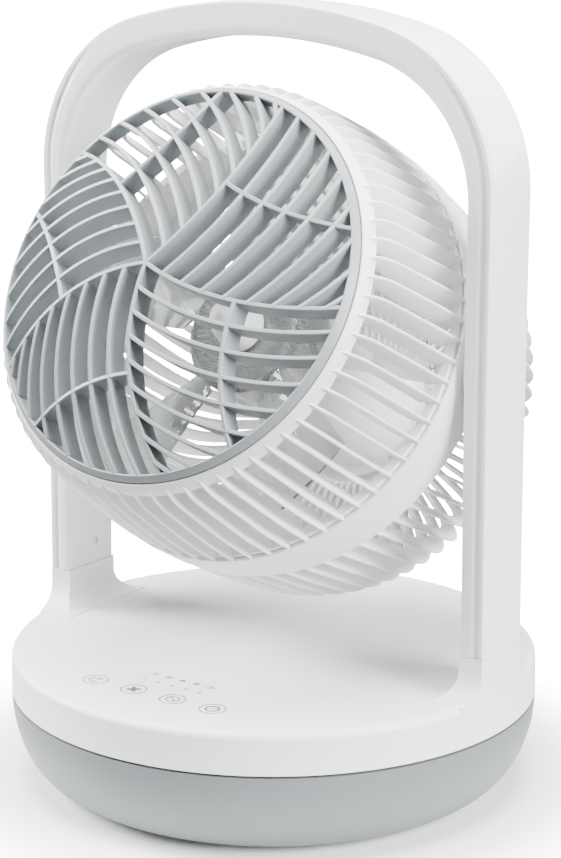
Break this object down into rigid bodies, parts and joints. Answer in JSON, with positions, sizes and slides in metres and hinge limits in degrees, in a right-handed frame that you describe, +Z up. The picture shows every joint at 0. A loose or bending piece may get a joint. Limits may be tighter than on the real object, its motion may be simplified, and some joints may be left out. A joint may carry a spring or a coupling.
{
  "type": "air circulator fan",
  "caption": "Floor or table air circulator: ball-shaped ribbed head that tilts in a tall carrying arch on a round swivelling base with flush touch keys.",
  "frame": {"origin": "centre of the underside, on the surface the feet stand on", "axes": "+Z up, the fan faces -Y, +X is towards its left leg as it faces you on the right-hand side of a front view"},
  "size_m": [0.3, 0.3, 0.434],
  "materials": {
    "white_shell": "satin moulded ABS",
    "grey_bowl": "satin moulded ABS",
    "grey_grille": "satin moulded ABS",
    "clear_blades": "clear moulded polycarbonate",
    "dark_plastic": "moulded, matt",
    "nylon": "moulded acetal, natural",
    "steel": "plated or turned steel",
    "cast_weight": "cast, bare",
    "rubber": "moulded rubber",
    "circuit_board": "solder mask",
    "copper": "enamelled winding wire",
    "touch_spring": "spring wire"
  },
  "bodies": {
    "base": {"bowl_shell": "grey_bowl", "bottom_plate": "dark_plastic", "bottom_screws": "steel", "rubber_feet": "rubber", "ballast_ring": "cast_weight", "swivel_post": "steel", "retainer_clip": "steel", "swing_gear": "nylon", "track_ring": "dark_plastic", "power_board": "circuit_board", "power_socket": "dark_plastic"},
    "turret": {"turntable": "dark_plastic", "glide_pads": "nylon", "top_cover": "white_shell", "cover_screws": "steel", "swing_motor": "steel", "control_board": "circuit_board", "touch_springs": "touch_spring", "arch_frame": "white_shell", "arch_cap": "white_shell", "leg_screws": "steel", "tilt_bush_left": "nylon", "tilt_bush_right": "nylon", "tilt_washers": "nylon"},
    "pinion": {"swing_pinion": "nylon", "pinion_shaft": "steel"},
    "head": {"front_grille": "grey_grille", "front_cage": "white_shell", "rear_cage": "white_shell", "trunnion_left": "steel", "trunnion_right": "steel", "motor_mount": "white_shell", "motor_screws": "steel", "back_cap": "white_shell", "motor_board": "circuit_board", "stator_core": "steel", "stator_coils": "copper", "motor_bearings": "steel"},
    "rotor": {"motor_shaft": "steel", "rotor_cup": "steel", "magnet_ring": "cast_weight", "impeller": "clear_blades", "spinner_nut": "white_shell"}
  },
  "joints": [
    {"name": "swing", "type": "hinge", "parent": "base", "child": "turret", "pos_m": [0, 0, 0.05], "axis": [0, 0, 1], "range_deg": [-45, 45]},
    {"name": "pinion_spin", "type": "hinge", "parent": "turret", "child": "pinion", "pos_m": [0, 0.04, 0.044], "axis": [0, 0, 1], "range_deg": [-135, 135]},
    {"name": "tilt", "type": "hinge", "parent": "turret", "child": "head", "pos_m": [0, 0, 0.2445], "axis": [-1, 0, 0], "range_deg": [-39, 61]},
    {"name": "fan_spin", "type": "hinge", "parent": "head", "child": "rotor", "pos_m": [0, 0, 0.2445], "axis": [0, -0.8746, 0.4848], "continuous": true}
  ],
  "couplings": [
    {"joint": "pinion_spin", "follows": "swing", "ratio": 3}
  ]
}
